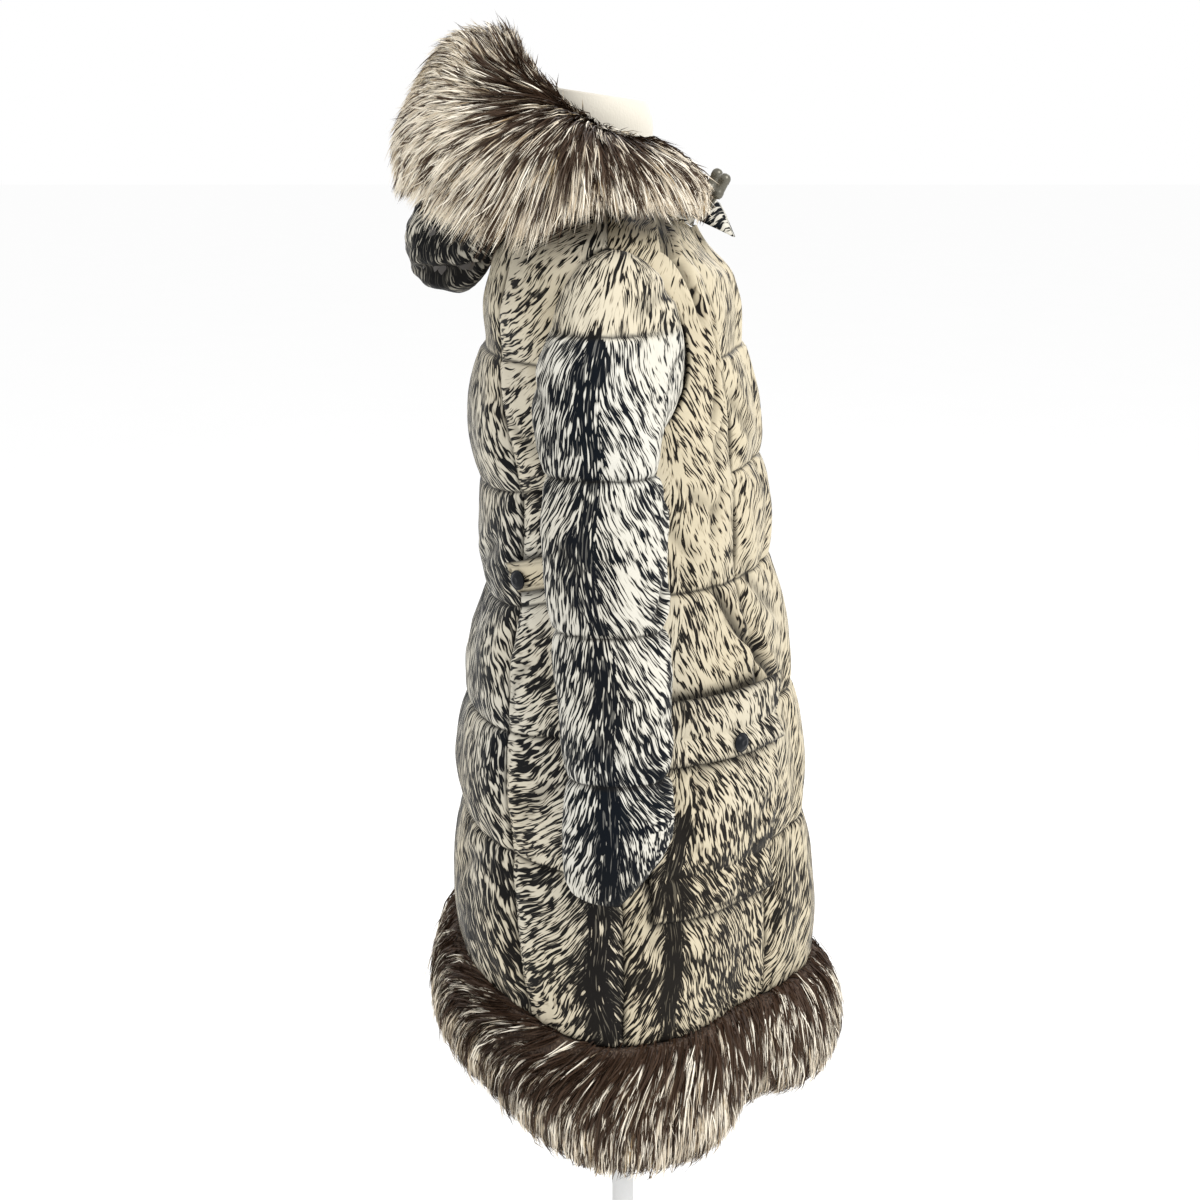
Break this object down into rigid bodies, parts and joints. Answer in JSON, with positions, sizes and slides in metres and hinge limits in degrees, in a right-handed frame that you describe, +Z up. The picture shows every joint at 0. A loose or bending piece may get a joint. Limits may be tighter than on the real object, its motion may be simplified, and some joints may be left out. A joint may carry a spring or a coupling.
{
  "type": "puffer coat on a limbless dress form",
  "caption": "Knee-length quilted puffer coat with an animal-fur print, long-haired fur ruff on its laid-back hood and fur hem band, hung empty on a limbless dress form.",
  "frame": {"origin": "centre of the stand's base on the floor, under the pole", "axes": "+Z up; the coat's front faces -Y; the wearer's right is -X"},
  "size_m": [0.7068, 0.4844, 1.563],
  "materials": {
    "shell_nylon": "woven nylon with a slight sheen, printed with dark strokes of fur on warm cream",
    "sleeve_nylon": "the same nylon, off-white with navy-black strokes and a dark stripe down the outside",
    "fur": "long guard hairs, dark brown at the root and cream at the tip",
    "snap": "near-black domes, satin",
    "toggle": "olive grey barrel, slightly metallic",
    "form_jersey": "cream jersey, matt",
    "stand_paint": "white, satin"
  },
  "bodies": {
    "root": {"back": "shell_nylon", "side_back_right": "shell_nylon", "side_back_left": "shell_nylon", "side_front_right": "shell_nylon", "side_front_left": "shell_nylon", "front_right": "shell_nylon", "front_left": "shell_nylon", "collar_right": "shell_nylon", "collar_left": "shell_nylon", "hood": "shell_nylon", "pocket_right": "shell_nylon", "pocket_left": "shell_nylon", "flap_right": "shell_nylon", "flap_left": "shell_nylon", "tab_right": "shell_nylon", "tab_left": "shell_nylon", "sleeve_outer_right": "sleeve_nylon", "sleeve_outer_left": "sleeve_nylon", "sleeve_under_right": "sleeve_nylon", "sleeve_under_left": "sleeve_nylon", "hood_fur": "fur", "hem_fur": "fur", "flap_snap_right": "snap", "flap_snap_left": "snap", "tab_snap_right": "snap", "tab_snap_left": "snap", "toggle_right": "toggle", "toggle_left": "toggle", "form_torso": "form_jersey", "form_pole": "stand_paint", "form_base": "stand_paint"}
  },
  "joints": []
}
